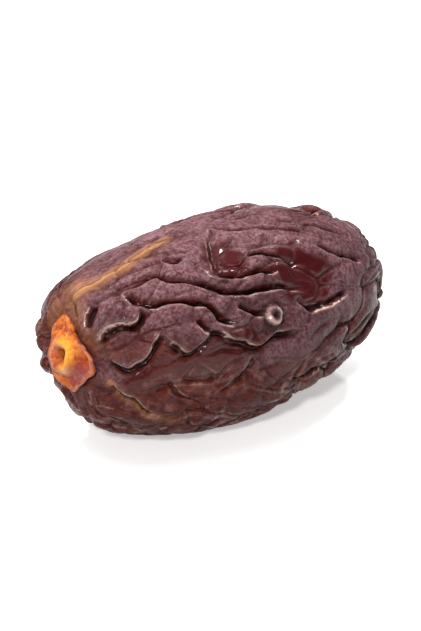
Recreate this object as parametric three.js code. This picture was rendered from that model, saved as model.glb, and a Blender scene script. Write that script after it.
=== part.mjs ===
// A medjool date lying on its side, with the dried cap that is left at its stem end.
// Units are millimetres and +Z is up. The stem end points to -X and the tip to +X.
// The origin is at the middle of the bottom of the whole date.

import * as THREE from 'three';

// Driving dimensions

const dateLength = 46.0;
const dateWidth = 27.0;
const heightShare = 0.93;
const endBluntness = 0.8;
const tipTaper = 0.07;

const restLevel = -11.9;
const restFade = 2.2;
const formToOrigin = [0.88, -0.2, -restLevel];

const plateSpacing = 4.4;
const plateStretch = 0.55;
const plateDepth = 1.4;
const plateStep = 0.4;
const foldSpacing = 2.4;
const foldDepth = 0.8;

const capAlong = 5.3;
const capAround = 66;
const capHollow = 1.3;
const capGap = 0.3;
const capRimHeight = 0.75;
const capBossHeight = 1.25;
const capHoleRadius = 0.7;
const capHoleDepth = 0.8;

const cellsAlong = 38;
const cellsAcross = 28;
const capSpokes = 40;

// Number helpers

const degree = Math.PI / 180;

function smooth(from, to, value) {
  const t = Math.min(1, Math.max(0, (value - from) / (to - from)));
  return t * t * (3 - 2 * t);
}

function bump(distance, radius, power = 2) {
  return Math.exp(-Math.pow(Math.abs(distance) / radius, power));
}

function seededDraws(seed) {
  let state = seed;
  return () => {
    state = (state + 0x6d2b79f5) | 0;
    let mix = Math.imul(state ^ (state >>> 15), state | 1);
    mix ^= mix + Math.imul(mix ^ (mix >>> 7), mix | 61);
    return ((mix ^ (mix >>> 14)) >>> 0) / 4294967296;
  };
}

function drawnDirection(draw) {
  const x = 2 * draw() - 1;
  const angle = 2 * Math.PI * draw();
  const across = Math.sqrt(1 - x * x);
  return new THREE.Vector3(x, across * Math.cos(angle), across * Math.sin(angle));
}

// A slow random ripple is a sum of seeded waves. It stays between about -1 and 1.

function seededWaves(seed, count, wavelength) {
  const draw = seededDraws(seed);
  const waves = [];
  for (let i = 0; i < count; i += 1) {
    const heading = drawnDirection(draw);
    const length = wavelength * (0.7 + 0.7 * draw());
    heading.multiplyScalar(2 * Math.PI / length);
    waves.push({ heading, phase: 2 * Math.PI * draw() });
  }
  return waves;
}

function ripple(point, waves) {
  let total = 0;
  for (const wave of waves) {
    total += Math.sin(point.dot(wave.heading) + wave.phase);
  }
  return total * 0.7 / Math.sqrt(waves.length);
}

// Flesh form: a blunt barrel, fuller toward the stem end and a little lopsided.
// A place on it is a direction from the middle. In degrees, "along" runs from 0 at the
// stem end to 180 at the tip, and "around" is 0 on the -Y side, 90 on top and -90 below.

function directionAt(along, around) {
  const a = along * degree;
  const r = around * degree;
  return new THREE.Vector3(-Math.cos(a), -Math.sin(a) * Math.cos(r), Math.sin(a) * Math.sin(r));
}

function girth(along, angle) {
  const lopsided = 1 + 0.02 * Math.cos(2 * angle + 0.6) + 0.02 * Math.cos(3 * angle - 0.5 + 1.2 * along);
  return dateWidth / 2 * (1 - tipTaper * along - 0.02 * along * along) * lopsided;
}

function formPoint(direction) {
  const along = direction.x;
  const angle = Math.atan2(direction.z, direction.y);
  const across = Math.sqrt(Math.max(1 - along * along, 0));
  const radius = girth(along, angle) * Math.pow(across, endBluntness);
  return new THREE.Vector3(
    dateLength / 2 * along,
    radius * Math.cos(angle),
    radius * Math.sin(angle) * heightShare
  );
}

function formLevel(x, y, z) {
  const along = 2 * x / dateLength;
  const height = z / heightShare;
  const angle = Math.atan2(height, y);
  const share = Math.hypot(y, height) / girth(along, angle);
  return Math.pow(share, 2 / endBluntness) + along * along;
}

function formNormal(point) {
  const step = 0.01;
  const { x, y, z } = point;
  return new THREE.Vector3(
    formLevel(x + step, y, z) - formLevel(x - step, y, z),
    formLevel(x, y + step, z) - formLevel(x, y - step, z),
    formLevel(x, y, z + step) - formLevel(x, y, z - step)
  ).normalize();
}

// Skin map: the skin shrinks most around the fruit, so its plates run lengthwise and
// narrow toward the ends. Distances in this map are stretched to match.

function skinMap(point) {
  const radius = Math.max(Math.hypot(point.y, point.z), 0.5);
  const pucker = Math.pow(dateWidth / 2 / radius, 0.35);
  return new THREE.Vector3(point.x * plateStretch, point.y * pucker, point.z * pucker);
}

const slowWarp = [seededWaves(11, 12, 7), seededWaves(12, 12, 7), seededWaves(13, 12, 7)];
const quickWarp = [seededWaves(21, 12, 2.6), seededWaves(22, 12, 2.6), seededWaves(23, 12, 2.6)];

function rippled(point, waves, reach) {
  const moved = waves.map((set) => ripple(point, set) * reach);
  return point.clone().add(new THREE.Vector3(...moved));
}

// Plates: flat islands of skin with a sunken crease between each two of them.

function scatteredPlates(seed, spacing, tries) {
  const draw = seededDraws(seed);
  const plates = [];
  for (let i = 0; i < tries; i += 1) {
    const centre = skinMap(formPoint(drawnDirection(draw)));
    const room = spacing * (0.75 + 0.6 * draw());
    if (plates.every((plate) => plate.centre.distanceTo(centre) > room)) {
      plates.push({ centre, step: 0 });
    }
  }
  for (const plate of plates) {
    plate.step = 2 * draw() - 1;
  }
  return plates;
}

function plateField(place, plates, sharpness) {
  const gaps = plates.map((plate) => plate.centre.distanceToSquared(place));
  const nearest = Math.min(...gaps);
  const shares = gaps.map((gap) => Math.exp(-sharpness * (gap - nearest)));
  const total = shares.reduce((sum, share) => sum + share, 0);
  let together = 0;
  let step = 0;
  shares.forEach((share, i) => {
    together += (share / total) ** 2;
    step += share / total * plates[i].step;
  });
  return { crease: 1 - together, step };
}

const plates = scatteredPlates(41, plateSpacing, 1500);
const folds = scatteredPlates(51, foldSpacing, 5000);
const slowRoll = seededWaves(31, 10, 17);
const platePatches = seededWaves(61, 12, 9);
const foldPatches = seededWaves(62, 12, 7);

// Deep creases that bound the large plates on the side toward -Y. Each one has its
// depth in millimetres and its route as [along, around] in degrees. The plate on its rim
// side stands higher: 1 is the side that is farther up around the fruit, -1 the other.

const deepCreases = [
  { depth: 0.6, rim: -1, route: [[46, 109], [51, 107], [61, 107], [71, 112], [85, 124], [96, 121]] },
  {
    depth: 0.75,
    rim: -1,
    route: [[38, 72], [48, 70], [57, 68], [60, 60], [68, 52], [76, 41], [92, 37], [103, 31]]
  },
  { depth: 0.65, rim: -1, route: [[44, 68], [46, 55], [56, 47], [65, 40], [69, 30], [73, 25]] },
  { depth: 0.6, rim: 1, route: [[46, 52], [43, 46], [39, 43], [34, 48], [28, 48], [22, 39]] },
  { depth: 0.5, rim: 1, route: [[23, 22], [28, 14], [34, 11], [41, 19], [45, 27], [48, 32]] },
  {
    depth: 0.65,
    rim: 1,
    route: [[47, 30], [50, 22], [54, 14], [59, 16], [65, 22], [72, 14], [78, 8], [88, 11], [96, 8]]
  },
  { depth: 0.4, rim: -1, route: [[76, 34], [79, 30], [84, 25]] },
  { depth: 0.4, rim: -1, route: [[61, 34], [62, 28], [66, 22]] },
  { depth: 0.2, rim: 0, route: [[87, 90], [81, 75], [77, 63], [75, 55]] },
  { depth: 0.4, rim: -1, route: [[64, 77], [65, 71], [69, 71]] },
  { depth: 0.6, rim: -1, route: [[89, 109], [95, 92], [105, 89], [112, 76], [123, 65], [132, 57]] },
  { depth: 0.5, rim: -1, route: [[87, 92], [91, 80], [99, 75], [106, 70], [113, 65]] },
  { depth: 0.5, rim: -1, route: [[75, 55], [80, 50], [88, 49], [96, 45]] },
  { depth: 0.5, rim: -1, route: [[89, 61], [95, 56], [103, 47]] },
  { depth: 0.5, rim: -1, route: [[114, 55], [121, 45], [134, 38]] },
  { depth: 0.45, rim: 0, route: [[32, 74], [27, 68], [23, 62]] },
  { depth: 0.45, rim: 0, route: [[28, 97], [26, 90], [23, 86]] },
  { depth: 0.45, rim: 1, route: [[24, -2], [29, -11], [38, -23], [46, -32]] },
  { depth: 0.4, rim: 0, route: [[79, 3], [74, -8], [67, -15]] },
  { depth: 0.5, rim: -1, route: [[97, 27], [103, 19], [121, 21]] }
];

const creaseWidth = 1.0;
const creaseReach = 5.0;
const creaseStep = 0.2;

function creaseLine(crease) {
  const places = crease.route.map(([along, around]) => formPoint(directionAt(along, around)));
  return new THREE.CatmullRomCurve3(places, false, 'catmullrom', 0.5).getPoints(crease.route.length * 5);
}

function lineNearness(point, line) {
  const uphill = new THREE.Vector3(0, point.z, -point.y).normalize();
  let gap = Infinity;
  let above = 0;
  let share = 0;
  for (let i = 0; i + 1 < line.length; i += 1) {
    const segment = new THREE.Line3(line[i], line[i + 1]);
    const t = segment.closestPointToPointParameter(point, true);
    const apart = point.clone().sub(segment.at(t, new THREE.Vector3()));
    if (apart.length() < gap) {
      gap = apart.length();
      above = apart.dot(uphill);
      share = (i + t) / (line.length - 1);
    }
  }
  return { gap, above, ends: smooth(0, 0.12, share) * smooth(0, 0.12, 1 - share) };
}

const creaseLines = deepCreases.map((crease) => ({ ...crease, line: creaseLine(crease) }));

// A rounded ridge of paler skin runs back from the cap along the upper flank.

const ridgeRoute = [[28, 103], [33, 95], [39, 90], [46, 88], [54, 88], [62, 90], [69, 91], [76, 92]];
const ridgeLine = creaseLine({ route: ridgeRoute });
const ridgeHeight = 0.45;
const ridgeWidth = 0.95;

// Swells and hollows: place in degrees, radius and height in millimetres.

const swells = [
  { at: [81, 65], radius: 3.8, height: -1.0 },
  { at: [32, 34], radius: 3.2, height: -0.9 },
  { at: [86.5, 23], radius: 2.4, height: -0.35 },
  { at: [86.5, 23], radius: 1.2, height: 1.0 },
  { at: [64, 2], radius: 4.2, height: -0.6 },
  { at: [46, 4], radius: 3.4, height: -0.5 },
  { at: [103, 37], radius: 3.8, height: -0.8 },
  { at: [70, 78], radius: 4.0, height: 0.3 },
  { at: [27, 135], radius: 7.0, height: 1.0 },
  { at: [56, 33], radius: 3.6, height: 0.4 },
  { at: [38, 58], radius: 2.8, height: 0.4 },
  { at: [180, 0], radius: 3.4, height: -0.9 },
  { at: [180, 0], radius: 1.6, height: 0.9 }
];

const placedSwells = swells.map((swell) => ({ ...swell, centre: formPoint(directionAt(...swell.at)) }));

// Cap outline, seen from outside the stem end: angles in degrees, 0 toward -Y and 90 up,
// and radii in millimetres. Three lobes stand out from the rest.

const capOutline = [
  [-11, 4.6], [5, 4.1], [28, 3.2], [50, 2.7], [75, 2.8], [97, 3.6], [118, 4.5], [135, 4.0],
  [160, 3.2], [185, 3.0], [215, 3.3], [245, 3.5], [265, 4.0], [284, 4.6], [308, 4.0], [330, 4.0]
];

const capCentre = formPoint(directionAt(capAlong, capAround));

function capRadius(angle) {
  const turn = ((angle / degree + 11) % 360 + 360) % 360 - 11;
  const count = capOutline.length;
  let i = 0;
  while (i + 1 < count && capOutline[i + 1][0] <= turn) {
    i += 1;
  }
  const [from, radius] = capOutline[i];
  const [to, next] = i + 1 < count ? capOutline[i + 1] : [capOutline[0][0] + 360, capOutline[0][1]];
  return radius + (next - radius) * smooth(from, to, turn);
}

function capPlace(point) {
  const right = -(point.y - capCentre.y);
  const up = point.z - capCentre.z;
  return { angle: Math.atan2(up, right), radius: Math.hypot(right, up) };
}

// Skin relief: how far the skin stands above or below the flesh form.

function skinRelief(point) {
  const { angle, radius } = capPlace(point);
  const capShare = point.x < 0 ? radius / capRadius(angle) : 9;
  const hollow = 0.35 * bump(capShare - 1.65, 0.35) - capHollow * bump(capShare, 1.2, 4);
  const clearOfCap = smooth(1.05, 1.45, capShare);

  const place = skinMap(point);
  const warped = rippled(rippled(place, slowWarp, 1.1), quickWarp, 0.15);
  const plate = plateField(warped, plates, 0.18);
  const fold = plateField(warped, folds, 0.4);
  const plateShow = 0.5 + 0.5 * smooth(-0.55, 0.35, ripple(place, platePatches));
  const foldShow = 0.1 + 0.9 * smooth(-0.35, 0.5, ripple(place, foldPatches));

  let deep = 0;
  let nearDeep = 0;
  let stepped = 0;
  for (const crease of creaseLines) {
    const { gap, above, ends } = lineNearness(point, crease.line);
    deep = Math.max(deep, crease.depth * bump(gap, creaseWidth) * (0.25 + 0.75 * ends));
    nearDeep = Math.max(nearDeep, bump(gap, creaseReach));
    stepped += creaseStep * crease.rim * Math.tanh(above / 0.7) * bump(gap, 2.2) * ends;
  }
  const ridge = lineNearness(point, ridgeLine);

  let relief = 0.45 * ripple(point, slowRoll);
  relief += (1 - 0.85 * nearDeep) * (plateStep * plate.step - plateDepth * plateShow * plate.crease);
  relief -= (1 - 0.5 * nearDeep) * foldDepth * foldShow * fold.crease;
  relief += stepped - deep;
  relief += ridgeHeight * bump(ridge.gap, ridgeWidth) * ridge.ends;
  for (const swell of placedSwells) {
    relief += swell.height * bump(point.distanceTo(swell.centre), swell.radius, 2.6);
  }
  return relief * clearOfCap + hollow;
}

function skinPoint(direction, lift = 0) {
  const point = formPoint(direction);
  const aboveRest = smooth(0, restFade, point.z - restLevel);
  return point.clone().addScaledVector(formNormal(point), skinRelief(point) * aboveRest + lift);
}

// Date body: a grid of cells on a box is blown up onto the form, and one vertex stands
// where cells meet, so the skin is one closed surface. The underside is cut flat.

function boxGrid(counts) {
  const places = [];
  const indexOf = new Map();
  const cells = [];
  const vertex = (place) => {
    const key = place.join(' ');
    if (!indexOf.has(key)) {
      const side = place.map((count, axis) => Math.tan((count / counts[axis] - 0.5) * Math.PI / 2));
      indexOf.set(key, places.length);
      places.push(new THREE.Vector3(...side).normalize());
    }
    return indexOf.get(key);
  };
  for (const axis of [0, 1, 2]) {
    const u = (axis + 1) % 3;
    const v = (axis + 2) % 3;
    for (const end of [0, counts[axis]]) {
      for (let i = 0; i < counts[u]; i += 1) {
        for (let j = 0; j < counts[v]; j += 1) {
          const corners = [[i, j], [i + 1, j], [i + 1, j + 1], [i, j + 1]].map(([a, b]) => {
            const place = [0, 0, 0];
            place[axis] = end;
            place[u] = a;
            place[v] = b;
            return vertex(place);
          });
          cells.push(end === 0 ? corners.reverse() : corners);
        }
      }
    }
  }
  return { places, cells };
}

function closedMesh(name, points, triangles, material) {
  const geometry = new THREE.BufferGeometry();
  const numbers = points.flatMap((point) => [point.x, point.y, point.z]);
  geometry.setAttribute('position', new THREE.Float32BufferAttribute(numbers, 3));
  geometry.setIndex(triangles.flat());
  geometry.computeVertexNormals();
  const mesh = new THREE.Mesh(geometry, material);
  mesh.name = name;
  return mesh;
}

function makeDateBody() {
  const grid = boxGrid([cellsAlong, cellsAcross, cellsAcross]);
  const points = grid.places.map((direction) => skinPoint(direction));
  const heights = points.map((point) => formLevel(point.x, point.y, point.z));
  for (const point of points) {
    point.z = Math.max(point.z, restLevel);
  }
  const triangles = [];
  for (const [a, b, c, d] of grid.cells) {
    const splitsAlongCrease = heights[a] + heights[c] < heights[b] + heights[d];
    triangles.push(...(splitsAlongCrease ? [[a, b, c], [a, c, d]] : [[b, c, d], [b, d, a]]));
  }
  const skin = new THREE.MeshStandardMaterial({ color: 0x6b3f42, roughness: 0.45, metalness: 0 });
  return closedMesh('date_body', points, triangles, skin);
}

// Calyx cap: a thin lobed disc that lies over the stem end, with a raised boss round a
// hole where the stalk came away. Its underside follows the skin with a small gap.

function capHeight(radius, edge, angle) {
  const share = radius / edge;
  const lobes = 0.22 * Math.cos(3 * angle + 0.4);
  const frills = 0.14 * Math.cos(7 * angle + 1.1) * smooth(0.45, 0.9, share);
  const rim = capRimHeight * (1 + lobes + frills);
  const boss = capBossHeight * (1 + 0.12 * Math.cos(angle)) * bump(radius - 1.5, 1.05, 2.2);
  const hole = capHoleDepth * bump(radius, capHoleRadius, 3);
  const moat = 0.25 * bump(share - 0.72, 0.12);
  return rim + boss - hole - moat;
}

// Rings of the cap from its middle out over the top and back in below. A ring stands at
// a fixed radius, plus a share of what is left from the boss to the outline.

const bossFoot = 2.3;
const bossRings = [0.3, 0.55, 0.8, 1.1, 1.5, 1.9, bossFoot].map((radius) => [radius, 0]);
const lobeRings = [0.28, 0.54, 0.76, 0.93].map((share) => [bossFoot, share]);
const topRings = [...bossRings, ...lobeRings];
const underRings = [[bossFoot, 0.93], [bossFoot, 0.5], [2.0, 0], [1.0, 0]];

function capDirection(radius, angle) {
  const y = capCentre.y - radius * Math.cos(angle);
  const height = (capCentre.z + radius * Math.sin(angle)) / heightShare;
  const turn = Math.atan2(height, y);
  let along = -1;
  let across = 0;
  for (let i = 0; i < 12; i += 1) {
    across = Math.pow(Math.hypot(y, height) / girth(along, turn), 1 / endBluntness);
    along = -Math.sqrt(1 - across * across);
  }
  return new THREE.Vector3(along, across * Math.cos(turn), across * Math.sin(turn));
}

function capPoint(radius, angle, lift) {
  return skinPoint(capDirection(radius, angle), capGap + lift);
}

function makeCalyxCap() {
  const points = [capPoint(0, 0, capHeight(0, bossFoot, 0))];
  const addRing = ([fixed, share], lift) => {
    for (let k = 0; k < capSpokes; k += 1) {
      const angle = 2 * Math.PI * k / capSpokes;
      const edge = capRadius(angle);
      const radius = fixed + share * (edge - bossFoot);
      points.push(capPoint(radius, angle, lift(radius, edge, angle)));
    }
  };
  topRings.forEach((ring) => addRing(ring, capHeight));
  addRing([bossFoot, 1], () => capRimHeight * 0.45);
  underRings.forEach((ring) => addRing(ring, () => 0));
  points.push(capPoint(0, 0, 0));

  const ringCount = topRings.length + 1 + underRings.length;
  const at = (ring, spoke) => 1 + ring * capSpokes + spoke % capSpokes;
  const triangles = [];
  for (let k = 0; k < capSpokes; k += 1) {
    triangles.push([0, at(0, k), at(0, k + 1)]);
    for (let i = 0; i + 1 < ringCount; i += 1) {
      triangles.push([at(i, k), at(i + 1, k + 1), at(i, k + 1)]);
      triangles.push([at(i, k), at(i + 1, k), at(i + 1, k + 1)]);
    }
    triangles.push([points.length - 1, at(ringCount - 1, k + 1), at(ringCount - 1, k)]);
  }
  const husk = new THREE.MeshStandardMaterial({ color: 0xd67a2c, roughness: 0.35, metalness: 0 });
  return closedMesh('calyx_cap', points, triangles, husk);
}

// Whole date

const group = new THREE.Group();
group.name = 'medjool_date';
const body = makeDateBody();
const cap = makeCalyxCap();
for (const mesh of [body, cap]) {
  mesh.position.set(...formToOrigin);
  group.add(mesh);
}

export default group;
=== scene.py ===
import bpy
import math
import numpy as np
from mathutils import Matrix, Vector


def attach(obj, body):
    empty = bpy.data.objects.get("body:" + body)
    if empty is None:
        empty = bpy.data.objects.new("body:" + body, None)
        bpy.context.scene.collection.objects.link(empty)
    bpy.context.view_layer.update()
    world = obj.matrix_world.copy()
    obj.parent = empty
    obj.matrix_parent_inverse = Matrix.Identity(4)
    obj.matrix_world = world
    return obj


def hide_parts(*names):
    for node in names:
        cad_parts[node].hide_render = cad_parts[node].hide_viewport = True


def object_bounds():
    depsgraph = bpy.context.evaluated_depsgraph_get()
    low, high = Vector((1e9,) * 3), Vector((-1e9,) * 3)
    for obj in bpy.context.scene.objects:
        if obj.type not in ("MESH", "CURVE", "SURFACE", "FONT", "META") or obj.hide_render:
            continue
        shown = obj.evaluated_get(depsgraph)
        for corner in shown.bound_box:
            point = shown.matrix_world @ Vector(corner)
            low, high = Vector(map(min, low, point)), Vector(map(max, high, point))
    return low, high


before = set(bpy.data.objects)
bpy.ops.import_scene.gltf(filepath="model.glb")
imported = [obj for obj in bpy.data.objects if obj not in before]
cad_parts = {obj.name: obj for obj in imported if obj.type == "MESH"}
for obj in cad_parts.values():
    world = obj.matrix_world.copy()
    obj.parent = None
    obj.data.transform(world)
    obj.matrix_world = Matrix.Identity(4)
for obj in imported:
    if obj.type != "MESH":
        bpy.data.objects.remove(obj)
cad_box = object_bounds()


# Date body
# The fruit is soft flesh under one thin waxy skin. As it dried, the skin sank between
# stiff plates, so each plate ends in a narrow crease, drawn with a dark line of painted
# shade. It lies on its own flat spot.

date_length = 46.0
date_width = 27.0
height_share = 0.93
end_bluntness = 0.8
tip_taper = 0.07
rest_level = -11.9
rest_fade = 2.2
form_to_origin = np.array([0.88, -0.2, -rest_level])
mm = 0.001


def smooth(low, high, value):
    t = np.clip((value - low) / (high - low), 0, 1)
    return t * t * (3 - 2 * t)


def bump(distance, radius, power=2.0):
    return np.exp(-(np.abs(distance) / radius) ** power)


def seeded_draws(seed):
    state = seed
    whole = 0xFFFFFFFF

    def draw():
        nonlocal state
        state = (state + 0x6D2B79F5) & whole
        mix = ((state ^ (state >> 15)) * (state | 1)) & whole
        mix ^= (mix + ((mix ^ (mix >> 7)) * (mix | 61) & whole)) & whole
        return (mix ^ (mix >> 14)) / 4294967296

    return draw


def drawn_direction(draw):
    x = 2 * draw() - 1
    angle = 2 * math.pi * draw()
    across = math.sqrt(1 - x * x)
    return np.array([x, across * math.cos(angle), across * math.sin(angle)])


def seeded_waves(seed, count, wavelength):
    draw = seeded_draws(seed)
    waves = []
    for _ in range(count):
        heading = drawn_direction(draw)
        heading = heading * 2 * math.pi / (wavelength * (0.7 + 0.7 * draw()))
        waves.append((heading, 2 * math.pi * draw()))
    return waves


def ripple(points, waves):
    total = sum(np.sin(points @ heading + phase) for heading, phase in waves)
    return total * 0.7 / math.sqrt(len(waves))


def direction_at(along, around):
    a = np.radians(along)
    r = np.radians(around)
    return np.stack([-np.cos(a), -np.sin(a) * np.cos(r), np.sin(a) * np.sin(r)], -1)


def girth(along, angle):
    lopsided = 1 + 0.02 * np.cos(2 * angle + 0.6) + 0.02 * np.cos(3 * angle - 0.5 + 1.2 * along)
    return date_width / 2 * (1 - tip_taper * along - 0.02 * along * along) * lopsided


def form_points(directions):
    along = directions[:, 0]
    angle = np.arctan2(directions[:, 2], directions[:, 1])
    radius = girth(along, angle) * np.maximum(1 - along * along, 0) ** (end_bluntness / 2)
    height = radius * np.sin(angle) * height_share
    return np.stack([date_length / 2 * along, radius * np.cos(angle), height], -1)


def form_level(x, y, z):
    along = 2 * x / date_length
    angle = np.arctan2(z / height_share, y)
    share = np.hypot(y, z / height_share) / girth(along, angle)
    return share ** (2 / end_bluntness) + along * along


def form_normals(points):
    step = 0.01
    x, y, z = points.T
    slope = np.stack([
        form_level(x + step, y, z) - form_level(x - step, y, z),
        form_level(x, y + step, z) - form_level(x, y - step, z),
        form_level(x, y, z + step) - form_level(x, y, z - step),
    ], -1)
    return slope / np.linalg.norm(slope, axis=1, keepdims=True)


# The skin map stretches distances, so that plates run lengthwise and narrow to the ends.

plate_stretch = 0.55
plate_spacing = 4.4
plate_depth = 1.4
plate_rise = 0.4
fold_spacing = 2.4
fold_depth = 0.8
plate_sway = 1.1
plate_fray = 0.15
fold_fray = 0.1
least_plate_show = 0.5
least_fold_show = 0.1
roll_height = 0.45

# The skin turns brown between these heights over the fruit's axis, in millimetres. The
# browning and the thinner bloom there are partly the skin's own and partly painted shade on the low
# side.

brown_from = 3.0
brown_full = -6.0
brown_fold_show = 0.55


def skin_map(points):
    radius = np.maximum(np.hypot(points[:, 1], points[:, 2]), 0.5)
    pucker = (date_width / 2 / radius) ** 0.35
    return np.stack([points[:, 0] * plate_stretch, points[:, 1] * pucker, points[:, 2] * pucker], -1)


def rippled(points, waves, reach):
    return points + reach * np.stack([ripple(points, one) for one in waves], -1)


def scattered_plates(seed, spacing, tries):
    draw = seeded_draws(seed)
    centres = []
    for _ in range(tries):
        centre = skin_map(form_points(drawn_direction(draw)[None]))[0]
        room = spacing * (0.75 + 0.6 * draw())
        if all(np.dot(centre - other, centre - other) > room * room for other in centres):
            centres.append(centre)
    steps = np.array([2 * draw() - 1 for _ in centres])
    return np.array(centres), steps


def plate_field(places, plates, soft, sharp):
    centres, steps = plates
    fields = []
    for start in range(0, len(places), 4000):
        gaps = ((places[start:start + 4000, None, :] - centres[None]) ** 2).sum(2)
        pair = np.argpartition(gaps, 1, axis=1)[:, :2]
        first, second = np.take_along_axis(gaps, pair, 1).T
        apart = centres[pair[:, 1]] - centres[pair[:, 0]]
        length = np.linalg.norm(apart * np.array([plate_stretch, 1, 1]), axis=1)
        border = np.abs(second - first) / (2 * length)
        nearer, farther = np.where(first < second, pair.T, pair.T[::-1])
        border *= np.sign(steps[nearer] - steps[farther])
        gaps -= gaps.min(1, keepdims=True)
        block = [border]
        for sharpness in (soft, sharp):
            shares = np.exp(-sharpness * gaps)
            shares /= shares.sum(1, keepdims=True)
            block += [1 - (shares ** 2).sum(1), shares @ steps]
        fields.append(block)
    return [np.concatenate(field) for field in zip(*fields)]


slow_warp = [seeded_waves(seed, 12, 7) for seed in (11, 12, 13)]
quick_warp = [seeded_waves(seed, 12, 2.6) for seed in (21, 22, 23)]
plates = scattered_plates(41, plate_spacing, 1500)
folds = scattered_plates(51, fold_spacing, 5000)
slow_roll = seeded_waves(31, 10, 17)
plate_patches = seeded_waves(61, 12, 9)
fold_patches = seeded_waves(62, 12, 7)

# Deep creases bound the large plates on the side toward -Y: each has its depth in
# millimetres, its rim side and its route as [along, around] in degrees. The plate on the
# rim side stands higher: 1 is the side that is farther up around the fruit.

deep_creases = [
    (0.6, -1, [(46, 109), (51, 107), (61, 107), (71, 112), (85, 124), (96, 121)]),
    (0.75, -1, [(38, 72), (48, 70), (57, 68), (60, 60), (68, 52), (76, 41), (92, 37), (103, 31)]),
    (0.65, -1, [(44, 68), (46, 55), (56, 47), (65, 40), (69, 30), (73, 25)]),
    (0.6, 1, [(46, 52), (43, 46), (39, 43), (34, 48), (28, 48), (22, 39)]),
    (0.5, 1, [(23, 22), (28, 14), (34, 11), (41, 19), (45, 27), (48, 32)]),
    (0.65, 1, [(47, 30), (50, 22), (54, 14), (59, 16), (65, 22), (72, 14), (78, 8), (88, 11), (96, 8)]),
    (0.4, -1, [(76, 34), (79, 30), (84, 25)]),
    (0.4, -1, [(61, 34), (62, 28), (66, 22)]),
    (0.2, 0, [(87, 90), (81, 75), (77, 63), (75, 55)]),
    (0.4, -1, [(64, 77), (65, 71), (69, 71)]),
    (0.6, -1, [(89, 109), (95, 92), (105, 89), (112, 76), (123, 65), (132, 57)]),
    (0.5, -1, [(87, 92), (91, 80), (99, 75), (106, 70), (113, 65)]),
    (0.5, -1, [(75, 55), (80, 50), (88, 49), (96, 45)]),
    (0.5, -1, [(89, 61), (95, 56), (103, 47)]),
    (0.5, -1, [(114, 55), (121, 45), (134, 38)]),
    (0.45, 0, [(32, 74), (27, 68), (23, 62)]),
    (0.45, 0, [(28, 97), (26, 90), (23, 86)]),
    (0.45, 1, [(24, -2), (29, -11), (38, -23), (46, -32)]),
    (0.4, 0, [(79, 3), (74, -8), (67, -15)]),
    (0.5, -1, [(97, 27), (103, 19), (121, 21)]),
]
crease_width = 0.6
crease_reach = 5.0
crease_step = 0.2
crease_step_reach = 2.2
crease_ends = 0.12
crease_waver = 0.22
crisp_depth = 0.5
floor_width = 0.28
floor_depth = 0.28
rim_place = 0.65
rim_width = 0.22
rim_height = 0.2
ridge_route = [(28, 103), (33, 95), (39, 90), (46, 88), (54, 88), (62, 90), (69, 91), (76, 92)]
ridge_height = 0.45
ridge_width = 0.95
streak_route = [(19, 8), (27, -6), (32, -15), (38, -23), (46, -32), (58, -38)]
streak_height = 0.15
streak_width = 0.55
wart_place = (86.5, 23)


def crease_line(route):
    knots = form_points(direction_at(*np.array(route, float).T))
    knots = np.vstack([2 * knots[0] - knots[1], knots, 2 * knots[-1] - knots[-2]])
    line = []
    for a, b, c, d in zip(knots, knots[1:], knots[2:], knots[3:]):
        for t in np.arange(6) / 6:
            bend = 2 * a - 5 * b + 4 * c - d + t * (3 * b - a - 3 * c + d)
            line.append(b + 0.5 * t * (c - a + t * bend))
    return np.array(line + [knots[-2]])


def line_nearness(points, line):
    outward = points * np.array([0, 1, 1])
    outward /= np.linalg.norm(outward, axis=1, keepdims=True) + 1e-9
    gap = np.full(len(points), 1e9)
    place = np.zeros(len(points))
    for i, (start, end) in enumerate(zip(line, line[1:])):
        run = end - start
        t = np.clip((points - start) @ run / (run @ run), 0, 1)
        distance = np.linalg.norm(points - start - t[:, None] * run, axis=1)
        nearer = distance < gap
        gap = np.where(nearer, distance, gap)
        place = np.where(nearer, i + t, place)
    index = np.minimum(place.astype(int), len(line) - 2)
    runs = line[index + 1] - line[index]
    apart = points - line[index] - (place - index)[:, None] * runs
    above = (apart * np.cross(outward, np.array([1.0, 0, 0]))).sum(1)
    tipward = np.sign(line[-1][0] - line[0][0])
    side = tipward * np.sign((apart * np.cross(outward, runs)).sum(1))
    share = place / (len(line) - 1)
    ends = smooth(0, crease_ends, share) * smooth(0, crease_ends, 1 - share)
    return gap, above, side, ends


# Swells and hollows: place in degrees, radius and height in millimetres.

swells = [
    ((81, 65), 3.8, -1.0),
    ((32, 34), 3.2, -0.9),
    (wart_place, 2.4, -0.35),
    (wart_place, 1.2, 1.0),
    ((64, 2), 4.2, -0.6),
    ((46, 4), 3.4, -0.5),
    ((103, 37), 3.8, -0.8),
    ((70, 78), 4.0, 0.3),
    ((27, 135), 7.0, 1.0),
    ((56, 33), 3.6, 0.4),
    ((38, 58), 2.8, 0.4),
    ((180, 0), 3.4, -0.9),
    ((180, 0), 1.6, 0.9),
]

# Where the skin has sunk and lost its bloom: place in degrees and radius in millimetres.

bare_places = [((81, 65), 3.2), ((64, 4), 4.6), ((72, 12), 2.6), ((46, 4), 4.0), ((103, 40), 4.4)]
bare_sway = 1.3
bare_fray = 0.6


def place_on_form(along, around):
    return form_points(direction_at(np.array([along]), np.array([around])))[0]


# The cap covers a round hollow at the stem end, and the skin is smooth under it. A low
# collar of skin stands round it, its place given as a share of the cap's own radius.

cap_hollow = 1.3
collar_height = 0.35
collar_place = 1.65
cap_centre = place_on_form(5.3, 66)
cap_outline = [
    (-11, 4.6), (5, 4.1), (28, 3.2), (50, 2.7), (75, 2.8), (97, 3.6), (118, 4.5), (135, 4.0), (160, 3.2),
    (185, 3.0), (215, 3.3), (245, 3.5), (265, 4.0), (284, 4.6), (308, 4.0), (330, 4.0), (349, 4.6),
]


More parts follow.
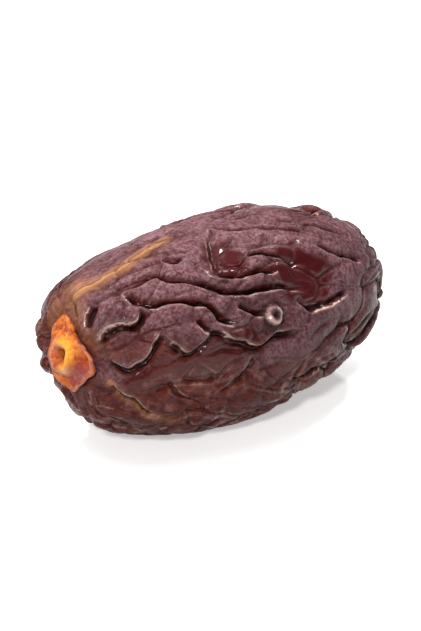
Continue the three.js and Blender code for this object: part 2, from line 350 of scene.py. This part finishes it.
def cap_radius(angle):
    turn = (np.degrees(angle) + 11) % 360 - 11
    radius = np.zeros_like(turn)
    for (low, first), (high, last) in zip(cap_outline, cap_outline[1:]):
        inside = (turn >= low) & (turn < high)
        radius = np.where(inside, first + (last - first) * smooth(low, high, turn), radius)
    return radius


def cap_share(points):
    right = cap_centre[1] - points[:, 1]
    up = points[:, 2] - cap_centre[2]
    share = np.hypot(right, up) / cap_radius(np.arctan2(up, right))
    return np.where(points[:, 0] < 0, share, 9)


fine_waves = seeded_waves(71, 20, 1.1)
wrinkle_waves = seeded_waves(73, 24, 1.5)
gloss_patches = seeded_waves(74, 14, 8)
grain_height = 0.015
plate_rim_height = 0.12
plate_cut_depth = 0.7
fold_cut_depth = 0.55
gloss_wrinkle_depth = 0.05
brown_wrinkle_depth = 0.14
wart_ring_radius = 0.85
wart_ring_height = 0.2
wart_pit_depth = 0.35


def skin_relief(points):
    near_cap = cap_share(points)
    collar = collar_height * bump(near_cap - collar_place, 0.35)
    hollow = collar - cap_hollow * bump(near_cap, 1.2, power=4)
    clear_of_cap = smooth(1.05, 1.45, near_cap)

    place = skin_map(points)
    warped = rippled(rippled(place, slow_warp, plate_sway), quick_warp, plate_fray)
    frayed = rippled(warped, quick_warp, fold_fray)
    plate_marks = plate_field(warped, plates, soft=0.3, sharp=1.1)
    plate_rift, plate_crease, plate_step, plate_cut, plate_tone = plate_marks
    fold_rift, fold_crease, _, fold_cut, fold_tone = plate_field(frayed, folds, soft=0.8, sharp=2.2)
    plate_show = smooth(-0.55, 0.35, ripple(place, plate_patches))
    plate_show = least_plate_show + (1 - least_plate_show) * plate_show
    fold_show = smooth(-0.35, 0.5, ripple(place, fold_patches))
    fold_show = least_fold_show + (1 - least_fold_show) * fold_show

    # The low side, more so toward the stem end, is browner and more finely folded. Its browner,
    # less bloomed look is partly the skin's own and partly painted shade.
    level = points[:, 2] + 0.25 * points[:, 0] + 3 * ripple(place, gloss_patches)
    brown_and_low_shade = smooth(brown_from, brown_full, level)
    fold_show = np.maximum(fold_show, brown_fold_show * brown_and_low_shade)

    wavering = rippled(points, quick_warp, crease_waver)
    ragged = rippled(rippled(points, slow_warp, bare_sway), quick_warp, bare_fray)
    deep = np.zeros(len(points))
    cut = np.zeros(len(points))
    lip = np.zeros(len(points))
    near_deep = np.zeros(len(points))
    stepped = np.zeros(len(points))
    rounded = np.zeros(len(points))
    rift = np.full(len(points), 2.0)
    rift_depth = np.zeros(len(points))
    for depth, rim, route in deep_creases:
        gap, above, side, ends = line_nearness(wavering, crease_line(route))
        strength = depth * (0.25 + 0.75 * ends)
        rim_side = 0.25 + 0.75 * smooth(-0.4, 0.4, rim * side * gap)
        nearest = gap < np.abs(rift)
        rift = np.where(nearest, gap * side * (rim or 1), rift)
        crisp = min(1, depth / crisp_depth)
        rift_depth = np.where(nearest, crisp * ends * smooth(1.1, 0.7, gap), rift_depth)
        deep = np.maximum(deep, strength * bump(gap, crease_width))
        rounded = np.maximum(rounded, crisp * ends * bump(gap, 0.55, power=3))
        cut = np.maximum(cut, crisp * (0.3 + 0.7 * ends) * bump(gap, floor_width))
        lip = np.maximum(lip, crisp * ends * rim_side * bump(gap - rim_place, rim_width))
        near_deep = np.maximum(near_deep, bump(gap, crease_reach))
        stepped += crease_step * rim * np.tanh(above / 0.7) * bump(gap, crease_step_reach) * ends
    ridge_gap, _, ridge_side, ridge_ends = line_nearness(wavering, crease_line(ridge_route))
    ridge = bump(ridge_gap, ridge_width) * ridge_ends
    streak_gap, _, _, streak_ends = line_nearness(wavering, crease_line(streak_route))
    streak = bump(streak_gap, streak_width) * streak_ends

    broad = roll_height * ripple(points, slow_roll)
    for at, radius, height in swells:
        broad += height * bump(np.linalg.norm(points - place_on_form(*at), axis=1), radius, power=2.6)
    bare = np.zeros(len(points))
    for at, radius in bare_places:
        off_place = np.linalg.norm(ragged - place_on_form(*at), axis=1)
        bare = np.maximum(bare, bump(off_place, radius, power=6))

    # Near a deep crease the seeded plates and folds fade, so that the crease stands alone.
    free = 1 - 0.85 * near_deep
    half_free = 1 - 0.5 * near_deep
    broad += free * (plate_rise * plate_step - plate_depth * plate_show * plate_crease)
    broad += ridge_height * ridge + streak_height * streak + stepped - deep
    broad -= half_free * fold_depth * fold_show * fold_crease

    # What is finer than the solids carry: rims, crease floors, wrinkles and the wart's ring.
    plate_lip = bump(plate_cut - 0.12, 0.09) * (1 - bump(plate_cut, 0.03))
    fine = rim_height * lip - floor_depth * cut
    fine += free * plate_rim_height * plate_lip
    fine -= free * plate_cut_depth * plate_show * np.maximum(plate_cut - 0.1, 0)
    fine -= half_free * fold_cut_depth * fold_show * np.maximum(fold_cut - 0.12, 0)
    wrinkle = np.maximum(0, 1 - np.abs(ripple(warped, wrinkle_waves)) * 4)
    gloss = smooth(-0.1, 0.5, ripple(place, gloss_patches))
    fine -= wrinkle * (gloss_wrinkle_depth * gloss + brown_wrinkle_depth * brown_and_low_shade)
    off_wart = np.linalg.norm(points - place_on_form(*wart_place), axis=1)
    fine += wart_ring_height * bump(off_wart - wart_ring_radius, 0.3)
    fine -= wart_pit_depth * bump(off_wart, 0.4)
    fine += grain_height * ripple(points, fine_waves)

    # Marks for the colours and the gloss. The distances to the borders stay in millimetres.
    # The crease mark paints shade, near black, in crease lines and in the wart's pit and moat.
    # The lip mark paints highlights on rims and on the wart's ring. Bloom cover is kept off the
    # valleys beside creases, which paints shade there.
    wart_ring_glint = bump(off_wart - 0.9, 0.28, power=3)
    wart_pit_and_moat_shade = 0.8 * bump(off_wart, 0.4, power=3) + 0.7 * bump(off_wart - 1.5, 0.25)
    plate_line = free * 1.3 * plate_show * np.maximum(plate_cut - 0.08, 0)
    fold_line = half_free * 0.8 * fold_show * np.maximum(fold_cut - 0.1, 0)
    lowered = free * 2.4 * plate_show * plate_crease + half_free * 1.5 * fold_show * fold_crease
    low_plate = free * smooth(-0.1, -0.7, plate_step) * smooth(0.0, 0.6, gloss)
    above_cap = smooth(0.5, 3.5, points[:, 2] - cap_centre[2])
    stained = 0.6 * bump(near_cap - 1.3, 0.4) * above_cap

    marks = {
        "rift": rift,
        "rift_depth": clear_of_cap * rift_depth,
        "plate_rift": plate_rift,
        "plate_rift_depth": clear_of_cap * free * plate_show * smooth(0.9, 0.5, np.abs(plate_rift)),
        "fold_rift": fold_rift,
        "fold_rift_depth": clear_of_cap * half_free * fold_show * smooth(0.7, 0.4, np.abs(fold_rift)),
        "tone": free * (0.7 * plate_tone + 0.5 * fold_tone * fold_show) + (1 - free) * 0.2,
        "ridge_across": ridge_gap * ridge_side,
        "crease": clear_of_cap * np.clip(plate_line + fold_line + wart_pit_and_moat_shade, 0, 1),
        "lip": clear_of_cap * np.clip(0.15 * lip + free * 0.3 * plate_lip + wart_ring_glint, 0, 1),
        "plateau_bloom_and_valley_shade": 1 - np.clip(1.1 * rounded + lowered - 0.15, 0, 1),
        "bare": np.clip(bare + low_plate, 0, 1),
        "amber": np.clip(ridge + stained + streak, 0, 1),
        "brown_and_low_shade": brown_and_low_shade,
    }
    return (broad + fine) * clear_of_cap + hollow, marks


def box_grid(counts):
    index = {}
    sides = []
    cells = []

    def vertex(place):
        if place not in index:
            index[place] = len(sides)
            sides.append(place)
        return index[place]

    for axis in range(3):
        u, v = (axis + 1) % 3, (axis + 2) % 3
        for end in (0, counts[axis]):
            for i in range(counts[u]):
                for j in range(counts[v]):
                    corners = []
                    for a, b in ((i, j), (i + 1, j), (i + 1, j + 1), (i, j + 1)):
                        place = [0, 0, 0]
                        place[axis], place[u], place[v] = end, a, b
                        corners.append(vertex(tuple(place)))
                    cells.append(corners if end else corners[::-1])
    sides = np.tan((np.array(sides) / np.array(counts) - 0.5) * math.pi / 2)
    return sides / np.linalg.norm(sides, axis=1, keepdims=True), cells


def skin_points(directions, lift=0.0):
    points = form_points(directions)
    relief, marks = skin_relief(points)
    above_rest = smooth(0, rest_fade, points[:, 2] - rest_level)
    return points + form_normals(points) * (relief * above_rest + lift)[:, None], marks


def mesh_piece(name, points, faces, marks, material):
    mesh = bpy.data.meshes.new(name)
    low, high = (np.array(corner) for corner in cad_box)
    mesh.from_pydata(np.clip((points + form_to_origin) * mm, low, high).tolist(), [], faces)
    mesh.shade_smooth()
    for mark, values in marks.items():
        mesh.attributes.new(mark, "FLOAT", "POINT").data.foreach_set("value", values.astype(np.float32))
    mesh.materials.append(material)
    piece = bpy.data.objects.new(name, mesh)
    bpy.context.scene.collection.objects.link(piece)
    return piece


def paint(hex_colour):
    shares = [int(hex_colour[i:i + 2], 16) / 255 for i in (1, 3, 5)]
    return [s / 12.92 if s <= 0.04045 else ((s + 0.055) / 1.055) ** 2.4 for s in shares] + [1]


def new_material(name):
    material = bpy.data.materials.new(name)
    material.use_nodes = True
    return material, material.node_tree, material.node_tree.nodes["Principled BSDF"]


def add_node(tree, kind, inputs=None, gives=0, **settings):
    node = tree.nodes.new(kind)
    for setting, value in settings.items():
        setattr(node, setting, value)
    for name, value in (inputs or {}).items():
        if isinstance(value, bpy.types.NodeSocket):
            tree.links.new(value, node.inputs[name])
        else:
            node.inputs[name].default_value = value
    return node.outputs[gives]


# Date skin: a waxy plant skin, dried over dark sticky flesh. Its fine grey bloom hides the
# shine of the plates; the grey is partly the bloom's own and partly painted sheen. Bare sunk
# places are dark red and glossy. Thin rims are glossy and painted pale as highlights, and
# crease lines and valleys are painted dark as shade. The real bloom is a powder too fine to
# show, so it is drawn as specks of half a millimetre.

cloud_size = 7.0
streak_size = 1.6
speck_size = 0.45
fibre_spacing = 0.4


def make_date_skin():
    material, tree, skin = new_material("waxy_date_skin")
    place = add_node(tree, "ShaderNodeTexCoord", gives="Object")
    mark = {}
    for name in body_marks:
        mark[name] = add_node(tree, "ShaderNodeAttribute", gives="Fac", attribute_name=name)

    patch_noise = {"Vector": place, "Scale": 1 / (cloud_size * mm), "Detail": 3.0, "Roughness": 0.6}
    patches = add_node(tree, "ShaderNodeTexNoise", patch_noise)
    dust_noise = {"Vector": place, "Scale": 1 / (speck_size * mm), "Detail": 4.0, "Roughness": 0.75}
    dust = add_node(tree, "ShaderNodeTexNoise", dust_noise)
    streak_noise = {"Vector": place, "Scale": 1 / (streak_size * mm), "Detail": 3.0, "Roughness": 0.65}
    streaks = add_node(tree, "ShaderNodeTexNoise", streak_noise)

    # The dark line of painted shade and the thin pale rim of painted highlight along each deep crease,
    # drawn from the distance to it.
    # The same goes for the borders of the plates and of the finer folds. All are in mm.
    # In the dark clouds, the lines of plates and folds grow faint, as no real one is even.
    waver = {"Value": streaks, "From Min": 0.3, "From Max": 0.7, "To Min": -0.13, "To Max": 0.13}
    waver = add_node(tree, "ShaderNodeMapRange", waver)
    crease_shade_line = mark["crease"]
    lip = mark["lip"]
    sharp = {"interpolation_type": "SMOOTHSTEP"}
    for border, faded, wide, rim_off, rim_wide, rim_share in (
        ("rift", 1.0, 0.34, 0.52, 0.16, 1.0),
        ("plate_rift", 0.3, 0.26, 0.46, 0.15, 0.6),
        ("fold_rift", 0.1, 0.18, 0.36, 0.14, 0.35),
    ):
        fade = {"Value": patches, "From Min": 0.42, "From Max": 0.6, "To Min": faded, "To Max": 1.0}
        fade = add_node(tree, "ShaderNodeMapRange", fade)
        depth = mark[border + "_depth"]
        deep = add_node(tree, "ShaderNodeMath", {0: depth, 1: fade}, operation="MULTIPLY")
        off_line = add_node(tree, "ShaderNodeMath", {0: mark[border], 1: waver}, operation="ADD")
        apart = add_node(tree, "ShaderNodeMath", {0: off_line}, operation="ABSOLUTE")
        line = {"Value": apart, "From Min": wide / 4, "From Max": wide, "To Min": 1.0, "To Max": 0.0}
        line = add_node(tree, "ShaderNodeMapRange", line, **sharp)
        line = add_node(tree, "ShaderNodeMath", {0: line, 1: deep}, operation="MULTIPLY")
        crease_shade_line = add_node(tree, "ShaderNodeMath", {0: crease_shade_line, 1: line}, operation="MAXIMUM")
        off_rim = add_node(tree, "ShaderNodeMath", {0: off_line, 1: rim_off}, operation="SUBTRACT")
        apart = add_node(tree, "ShaderNodeMath", {0: off_rim}, operation="ABSOLUTE")
        full = rim_wide / 4
        rim = {"Value": apart, "From Min": full, "From Max": rim_wide, "To Min": 1.0, "To Max": 0.0}
        rim = add_node(tree, "ShaderNodeMapRange", rim, **sharp)
        rim = add_node(tree, "ShaderNodeMath", {0: rim, 1: rim_share}, operation="MULTIPLY")
        rim = add_node(tree, "ShaderNodeMath", {0: rim, 1: deep}, operation="MULTIPLY")
        lip = add_node(tree, "ShaderNodeMath", {0: lip, 1: rim}, operation="MAXIMUM")

    # Bloom lies on the plateaus, in clouds of a few millimetres and in specks; its grey is partly
    # painted sheen. It is kept off the valleys beside creases, which paints shade there. It is thin
    # on sunk plates, in bare places and on the brown low side, where the thinning is partly painted
    # shade.
    dust_cover_and_painted_shade = mark["plateau_bloom_and_valley_shade"]
    for thinned in (
        {"Value": patches, "From Min": 0.3, "From Max": 0.55, "To Min": 0.45, "To Max": 1.0},
        {"Value": mark["bare"], "From Min": 0.2, "From Max": 0.8, "To Min": 1.0, "To Max": 0.0},
        {"Value": mark["tone"], "From Min": -0.6, "From Max": 0.4, "To Min": 0.2, "To Max": 1.0},
        {"Value": mark["brown_and_low_shade"], "To Min": 1.0, "To Max": 0.2},
    ):
        dust_cover_and_painted_shade = add_node(tree, "ShaderNodeMath", {
            0: dust_cover_and_painted_shade,
            1: add_node(tree, "ShaderNodeMapRange", thinned),
        }, operation="MULTIPLY")
    specks = {"Value": dust, "From Min": 0.4, "From Max": 0.62, "To Min": 0.1, "To Max": 1.0}
    bloom_and_painted_sheen = add_node(tree, "ShaderNodeMath", {
        0: dust_cover_and_painted_shade,
        1: add_node(tree, "ShaderNodeMapRange", specks),
    }, operation="MULTIPLY")

    flesh = {"Value": patches, "From Min": 0.35, "From Max": 0.65}
    colour = add_node(tree, "ShaderNodeMix", {
        0: add_node(tree, "ShaderNodeMapRange", flesh), 6: paint("#2e0909"), 7: paint("#4e130f"),
    }, gives=2, data_type="RGBA")
    mottle = {"Value": streaks, "From Min": 0.38, "From Max": 0.62, "To Min": 0.1, "To Max": 0.95}
    browned = add_node(tree, "ShaderNodeMath", {
        0: mark["brown_and_low_shade"],
        1: add_node(tree, "ShaderNodeMapRange", mottle),
    }, operation="MULTIPLY")

    # The amber ridge shows fibres that run along it.
    across = {0: mark["ridge_across"], 1: 1 / fibre_spacing}
    across = add_node(tree, "ShaderNodeMath", across, operation="MULTIPLY")
    fibre_place = add_node(tree, "ShaderNodeCombineXYZ", {"X": across, "Y": patches})
    fibres = add_node(tree, "ShaderNodeTexNoise", {"Vector": fibre_place, "Scale": 1.0, "Detail": 2.0})
    bands = {"Value": fibres, "From Min": 0.36, "From Max": 0.6, "To Min": 0.25, "To Max": 1.0}
    amber = add_node(tree, "ShaderNodeMath", {
        0: mark["amber"],
        1: add_node(tree, "ShaderNodeMapRange", bands),
    }, operation="MULTIPLY")
    gilt = add_node(tree, "ShaderNodeMath", {0: amber, 1: 5.0}, operation="POWER")
    # Rims are painted pale as highlights, broken in places like glints.
    broken = {"Value": streaks, "From Min": 0.42, "From Max": 0.6, "To Min": 0.1, "To Max": 0.95}
    rim_highlight_paint = add_node(tree, "ShaderNodeMath", {
        0: lip,
        1: add_node(tree, "ShaderNodeMapRange", broken),
    }, operation="MULTIPLY")

    # Colours from the flesh up: sunk skin, brown skin, thin and thick bloom with painted sheen, amber,
    # rims painted pale as highlights, creases painted near black as shade.
    for share, hex_colour in (
        (mark["bare"], "#42070c"),
        (browned, "#63250f"),
        (dust_cover_and_painted_shade, "#4c2228"),
        (bloom_and_painted_sheen, "#8f6c72"),
        (amber, "#a06a45"),
        (gilt, "#b28052"),
        (rim_highlight_paint, "#dcb4aa"),
        (crease_shade_line, "#0d0203"),
    ):
        colour = add_node(tree, "ShaderNodeMix", {
            0: share, 6: colour, 7: paint(hex_colour),
        }, gives=2, data_type="RGBA")
    tree.links.new(colour, skin.inputs["Base Color"])

    dull = {"Value": bloom_and_painted_sheen, "To Min": 0.4, "To Max": 0.66}
    tree.links.new(add_node(tree, "ShaderNodeMapRange", dull), skin.inputs["Roughness"])
    sticky = add_node(tree, "ShaderNodeMath", {0: mark["bare"], 1: 0.3}, operation="MULTIPLY")
    shine = add_node(tree, "ShaderNodeMath", {0: lip, 1: sticky}, operation="MAXIMUM")
    wet = add_node(tree, "ShaderNodeMapRange", {"Value": streaks, "From Min": 0.56, "From Max": 0.64})
    dry = add_node(tree, "ShaderNodeMath", {0: 1.0, 1: dust_cover_and_painted_shade}, operation="SUBTRACT")
    dry = add_node(tree, "ShaderNodeMath", {0: dry, 1: 0.6}, operation="MULTIPLY")
    wet = add_node(tree, "ShaderNodeMath", {0: wet, 1: dry}, operation="MULTIPLY")
    shine = add_node(tree, "ShaderNodeMath", {0: shine, 1: wet}, operation="MAXIMUM")
    tree.links.new(shine, skin.inputs["Coat Weight"])

    # Heights for the light only, in millimetres: rim, crease, dust, the finest wrinkles, fibres.
    height = 0.0
    for share, rise in ((lip, 0.10), (crease_shade_line, -0.25), (dust, 0.06), (streaks, 0.35), (amber, 0.15)):
        raised = {0: share, 1: rise, 2: height}
        height = add_node(tree, "ShaderNodeMath", raised, operation="MULTIPLY_ADD")
    lift = add_node(tree, "ShaderNodeBump", {"Height": height, "Strength": 0.7, "Distance": mm})
    tree.links.new(lift, skin.inputs["Normal"])
    skin.inputs["IOR"].default_value = 1.4
    skin.inputs["Specular IOR Level"].default_value = 0.12
    skin.inputs["Subsurface Weight"].default_value = 0.05
    skin.inputs["Subsurface Radius"].default_value = (0.0025, 0.0008, 0.0005)
    skin.inputs["Subsurface Scale"].default_value = 0.5
    skin.inputs["Coat Roughness"].default_value = 0.13
    return material


body_grid, body_cells = box_grid((160, 110, 110))
body_points, body_marks = skin_points(body_grid)
body_points[:, 2] = np.maximum(body_points[:, 2], rest_level)
date_body = mesh_piece("date_flesh_and_skin", body_points, body_cells, body_marks, make_date_skin())
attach(date_body, "root")
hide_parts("date_body")


# Calyx cap
# The dry remains of the flower, grown onto the stem end: a thin lobed papery husk with a
# raised ring round the hole where the stalk came away. It hugs the flesh, a hair clear.

cap_gap = 0.3
cap_rim_height = 0.75
cap_boss_height = 1.25
cap_hole_radius = 0.7
cap_hole_depth = 0.8
cap_boss_foot = 2.3
cap_ring_radius = 1.5
cap_ring_width = 1.05
cap_lobe_share = 0.22
cap_fold_share = 0.14
cap_groove_depth = 0.25
cap_shoulder = 0.93
cap_edge_rise = 0.45
cap_spokes = 180
red_lobe_turn = 0.75


def cap_height(radius, edge, angle):
    share = radius / edge
    folds = cap_fold_share * np.cos(7 * angle + 1.1) * smooth(0.45, 0.9, share)
    folded = 1 + cap_lobe_share * np.cos(3 * angle + 0.4) + folds
    ring = bump(radius - cap_ring_radius, cap_ring_width, power=2.2)
    boss = cap_boss_height * (1 + 0.12 * np.cos(angle)) * ring
    hole = cap_hole_depth * bump(radius, cap_hole_radius, power=3)
    groove = cap_groove_depth * bump(share - 0.72, 0.12)
    return cap_rim_height * folded + boss - hole - groove


def cap_directions(radius, angle):
    y = cap_centre[1] - radius * np.cos(angle)
    height = (cap_centre[2] + radius * np.sin(angle)) / height_share
    turn = np.arctan2(height, y)
    along = -np.ones_like(turn)
    for _ in range(12):
        across = (np.hypot(y, height) / girth(along, turn)) ** (1 / end_bluntness)
        along = -np.sqrt(1 - across * across)
    return np.stack([along, across * np.cos(turn), across * np.sin(turn)], -1)


# Dry husk: papery leaf tissue, shrunk hard and a little translucent, so it glows orange.
# The raised ring is painted pale yellow toward one side as a highlight, and one side of the
# outer edge is painted pale pink as a highlight. The hole is painted dark as shade. The hole's
# edge and one lobe are stained red. Its fibres are too fine to show, so they are drawn as
# mottles of about a millimetre.

mottle_size = 0.9


def make_cap_husk():
    material, tree, husk = new_material("dry_papery_husk")
    place = add_node(tree, "ShaderNodeTexCoord", gives="Object")
    fibre_noise = {"Vector": place, "Scale": 1 / (mottle_size * mm), "Detail": 4.0, "Roughness": 0.7}
    fibres = add_node(tree, "ShaderNodeTexNoise", fibre_noise)
    cloudy = add_node(tree, "ShaderNodeMapRange", {"Value": fibres, "From Min": 0.42, "From Max": 0.58})
    colour = add_node(tree, "ShaderNodeMix", {
        0: cloudy, 6: paint("#a03808"), 7: paint("#e57c16"),
    }, gives=2, data_type="RGBA")
    # Painted highlights on the ring and the edge, painted shade in the hole, and a real red stain.
    for name, hex_colour in (
        ("ring", "#ffac1e"),
        ("stain", "#9a1a05"),
        ("edge", "#c4725a"),
        ("hole", "#3c0d02"),
    ):
        share = add_node(tree, "ShaderNodeAttribute", gives="Fac", attribute_name=name)
        colour = add_node(tree, "ShaderNodeMix", {
            0: share, 6: colour, 7: paint(hex_colour),
        }, gives=2, data_type="RGBA")
    tree.links.new(colour, husk.inputs["Base Color"])
    lift = add_node(tree, "ShaderNodeBump", {"Height": fibres, "Strength": 0.8, "Distance": 0.8 * mm})
    tree.links.new(lift, husk.inputs["Normal"])
    husk.inputs["Roughness"].default_value = 0.38
    husk.inputs["Specular IOR Level"].default_value = 0.4
    husk.inputs["Subsurface Weight"].default_value = 0.12
    husk.inputs["Subsurface Radius"].default_value = (0.003, 0.0012, 0.0004)
    husk.inputs["Subsurface Scale"].default_value = 0.5
    husk.inputs["Coat Weight"].default_value = 0.2
    husk.inputs["Coat Roughness"].default_value = 0.15
    return material


top_rings = [(r, 0) for r in np.linspace(0.1, cap_boss_foot, 24)]
top_rings += [(cap_boss_foot, s) for s in np.linspace(0.06, cap_shoulder, 15)]
under_rings = [(cap_boss_foot, cap_shoulder), (cap_boss_foot, 0.5), (2.0, 0), (1.0, 0)]
spoke_angles = np.arange(cap_spokes) * 2 * math.pi / cap_spokes
edges = cap_radius(spoke_angles)
ring_radii = []
ring_lifts = []
for fixed, share in top_rings:
    radii = fixed + share * (edges - cap_boss_foot)
    ring_radii.append(radii)
    ring_lifts.append(cap_height(radii, edges, spoke_angles))
ring_radii.append(edges)
ring_lifts.append(np.full(cap_spokes, cap_rim_height * cap_edge_rise))
for fixed, share in under_rings:
    ring_radii.append(fixed + share * (edges - cap_boss_foot))
    ring_lifts.append(np.zeros(cap_spokes))
radii = np.concatenate([[0.0]] + ring_radii + [[0.0]])
angles = np.concatenate([[0.0]] + [spoke_angles] * len(ring_radii) + [[0.0]])
middle_lift = cap_height(np.zeros(1), np.full(1, cap_boss_foot), np.zeros(1))
lifts = np.concatenate([middle_lift] + ring_lifts + [[0.0]])
cap_points, _ = skin_points(cap_directions(radii, angles), cap_gap + lifts)
cap_faces = []
last = len(radii) - 1
for k in range(cap_spokes):
    after = (k + 1) % cap_spokes
    cap_faces.append([0, 1 + k, 1 + after])
    for ring in range(len(ring_radii) - 1):
        inner = 1 + ring * cap_spokes
        outer = inner + cap_spokes
        cap_faces.append([inner + k, outer + k, outer + after, inner + after])
    final = 1 + (len(ring_radii) - 1) * cap_spokes
    cap_faces.append([last, final + after, final + k])
edge_shares = np.concatenate([[0.0]] + [ring / edges for ring in ring_radii] + [[0.0]])
red_lobe = smooth(0.3, 0.95, np.cos(angles + red_lobe_turn))
# The ring and edge marks lie toward one side only, as painted highlights; the hole mark is painted
# shade; the stain is the husk's own.
cap_marks = {
    "ring": bump(radii - 1.35, 0.7) * smooth(-0.7, 0.3, np.cos(angles - 0.2)),
    "stain": bump(radii - 3.0, 0.9) * red_lobe + 0.5 * bump(radii - 0.85, 0.3),
    "hole": bump(radii, 0.62, power=4),
    "edge": 0.7 * smooth(0.9, 1.0, edge_shares) * smooth(0.3, 0.8, np.cos(angles)),
}
calyx_cap = mesh_piece("calyx_husk", cap_points, cap_faces, cap_marks, make_cap_husk())
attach(calyx_cap, "root")
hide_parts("calyx_cap")


# Floor
# A plain pale board, matt painted, wide enough that its edge is out of sight. It glows a
# little, so the shadow on it stays faint, and it throws no light up onto the dark low side.

floor_side = 3.0
floor_mesh = bpy.data.meshes.new("pale_floor")
corner = floor_side / 2
floor_corners = [(-corner, -corner, 0), (corner, -corner, 0), (corner, corner, 0), (-corner, corner, 0)]
floor_mesh.from_pydata(floor_corners, [], [(0, 1, 2, 3)])
floor_paint, floor_tree, floor_shader = new_material("matt_white_board")
floor_shader.inputs["Base Color"].default_value = paint("#f4f3f1")
floor_shader.inputs["Roughness"].default_value = 0.9
floor_shader.inputs["Emission Color"].default_value = (1, 1, 1, 1)
floor_shader.inputs["Emission Strength"].default_value = 0.42
floor_mesh.materials.append(floor_paint)
floor = bpy.data.objects.new("pale_floor", floor_mesh)
bpy.context.scene.collection.objects.link(floor)
floor.visible_diffuse = False


# Studio light
# One large soft box above and behind gives the soft shade. It isn't mirrored, so glossy
# skin stays dark red. Three small lamps give the glints, and the room is white.

middle = Vector((0, 0, 0.012))


def soft_box(name, place, side, watts, mirrored=True):
    light = bpy.data.lights.new(name, "AREA")
    light.size = side
    light.energy = watts
    box = bpy.data.objects.new(name, light)
    box.location = place
    box.rotation_euler = (box.location - middle).to_track_quat("Z", "Y").to_euler()
    box.visible_glossy = mirrored
    bpy.context.scene.collection.objects.link(box)


soft_box("top_soft_box", (-0.04, 0.1, 0.55), 0.5, 2.4, mirrored=False)
soft_box("rear_lamp", (-0.1, 0.25, 0.45), 0.045, 1.6)
soft_box("right_lamp", (0.3, 0.05, 0.45), 0.045, 1.0)
soft_box("front_lamp", (-0.35, -0.3, 0.3), 0.06, 2.0)
room = bpy.data.worlds.new("white_room")
room.use_nodes = True
room.node_tree.nodes["Background"].inputs["Color"].default_value = (1, 1, 1, 1)
room.node_tree.nodes["Background"].inputs["Strength"].default_value = 0.3
bpy.context.scene.world = room
bpy.context.scene.view_settings.view_transform = "Standard"


# Camera
# It looks down on the stem end and the -Y side from a distance, through a long lens.

camera_turn = math.radians(-38)
camera_rise = math.radians(25)
camera_distance = 0.42
view_width = 0.050
back = Vector((
    math.sin(camera_turn) * math.cos(camera_rise),
    -math.cos(camera_turn) * math.cos(camera_rise),
    math.sin(camera_rise),
))
lens = bpy.data.cameras.new("long_lens")
lens.sensor_fit = "HORIZONTAL"
lens.sensor_width = 36
lens.lens = lens.sensor_width * camera_distance / view_width
camera = bpy.data.objects.new("camera", lens)
camera.location = middle + back * camera_distance
camera.rotation_euler = back.to_track_quat("Z", "Y").to_euler()
bpy.context.scene.collection.objects.link(camera)
bpy.context.scene.camera = camera
